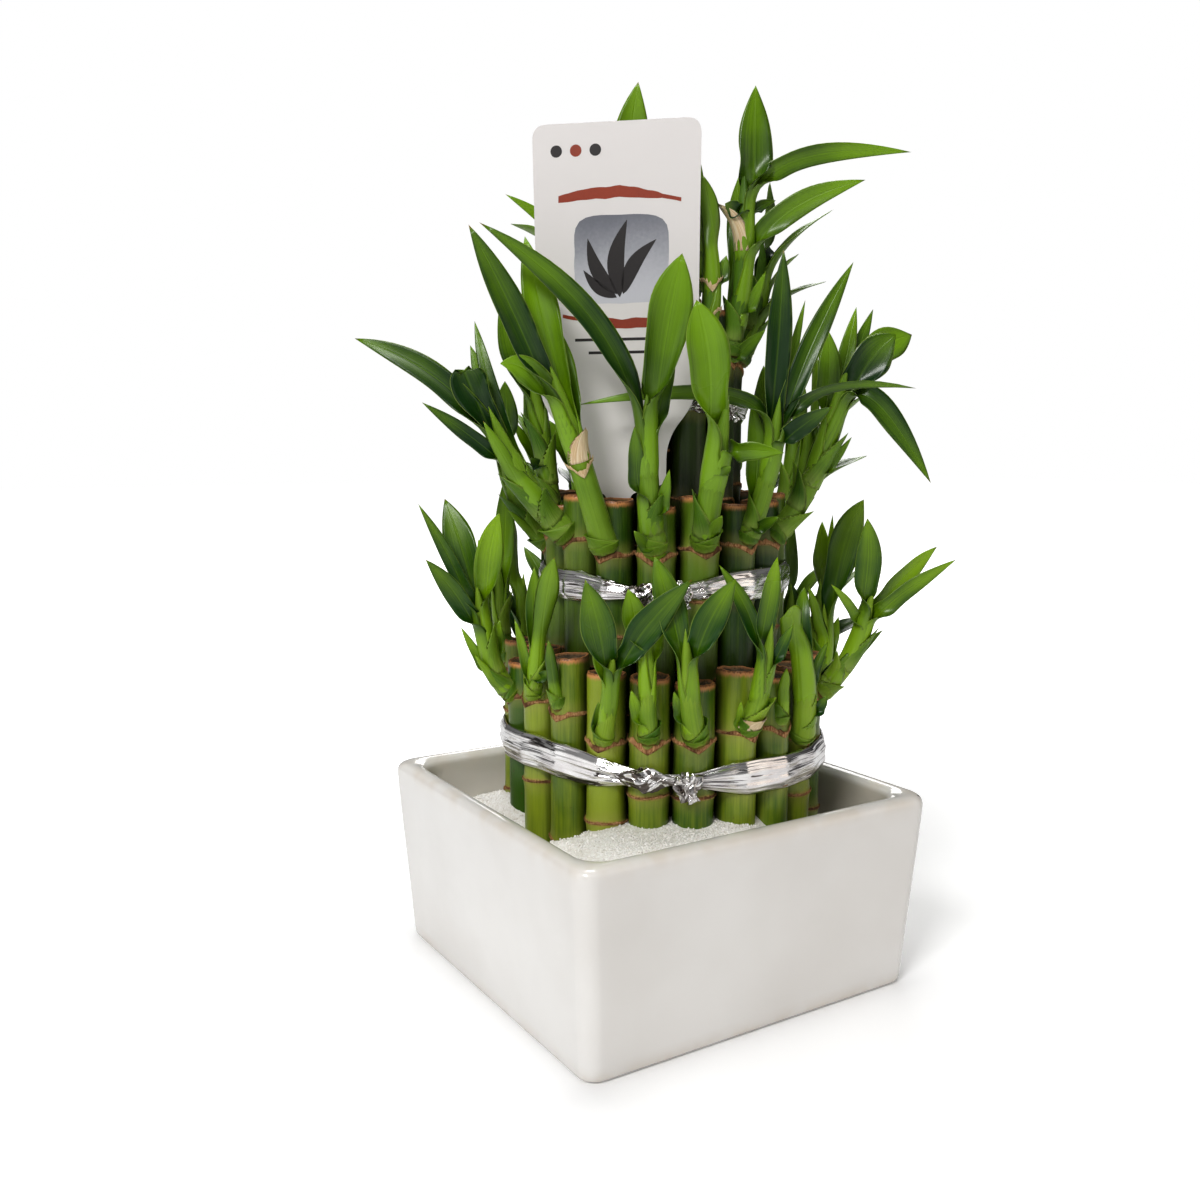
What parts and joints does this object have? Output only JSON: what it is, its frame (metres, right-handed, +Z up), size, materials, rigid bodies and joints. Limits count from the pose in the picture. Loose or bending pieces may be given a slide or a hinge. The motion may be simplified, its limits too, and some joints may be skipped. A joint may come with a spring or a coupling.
{
  "type": "lucky bamboo plant",
  "caption": "Three-tier tower of cut green canes with leafy side shoots, bound with silver foil ribbon, standing in white sand in a square white glazed pot, with a blank plant tag.",
  "frame": {"origin": "centre of the pot's flat underside", "axes": "+Z up along the canes; X and Y square to the pot's faces, the tag's printed side faces between -X and -Y"},
  "size_m": [0.1852, 0.1575, 0.307],
  "materials": {
    "pot": "white gloss glaze",
    "sand": "fine white sand, matte",
    "young_cane": "light green living cane, shoot and leaves, satin",
    "old_cane": "deep green living cane, shoot and leaves, satin",
    "foil": "crinkled silver foil ribbon, gloss",
    "tag": "off-white printed plastic sheet, satin"
  },
  "bodies": {
    "root": {"pot": "pot", "sand": "sand", "cane_outer_01": "young_cane", "cane_outer_02": "young_cane", "cane_outer_03": "young_cane", "cane_outer_04": "young_cane", "cane_outer_05": "young_cane", "cane_outer_06": "young_cane", "cane_outer_07": "young_cane", "cane_outer_08": "young_cane", "cane_outer_09": "young_cane", "cane_outer_10": "young_cane", "cane_outer_11": "young_cane", "cane_outer_12": "young_cane", "cane_outer_13": "young_cane", "cane_outer_14": "young_cane", "cane_outer_15": "young_cane", "cane_outer_16": "young_cane", "cane_outer_17": "young_cane", "cane_outer_18": "young_cane", "cane_outer_19": "young_cane", "cane_outer_20": "young_cane", "cane_outer_21": "young_cane", "cane_outer_22": "young_cane", "cane_middle_01": "old_cane", "cane_middle_02": "old_cane", "cane_middle_03": "old_cane", "cane_middle_04": "old_cane", "cane_middle_05": "old_cane", "cane_middle_06": "old_cane", "cane_middle_07": "old_cane", "cane_middle_08": "old_cane", "cane_middle_09": "old_cane", "cane_middle_10": "old_cane", "cane_middle_11": "old_cane", "cane_middle_12": "old_cane", "cane_middle_13": "old_cane", "cane_middle_14": "old_cane", "cane_middle_15": "old_cane", "cane_middle_16": "old_cane", "cane_inner_01": "old_cane", "cane_inner_02": "old_cane", "cane_inner_03": "old_cane", "cane_inner_04": "old_cane", "cane_inner_05": "old_cane", "cane_inner_06": "old_cane", "cane_inner_07": "old_cane", "cane_inner_08": "old_cane", "cane_inner_09": "old_cane", "cane_inner_10": "old_cane", "cane_core_1": "old_cane", "cane_core_2": "old_cane", "cane_core_3": "old_cane", "tie_lower": "foil", "tie_middle": "foil", "tie_upper": "foil", "tag": "tag"}
  },
  "joints": []
}
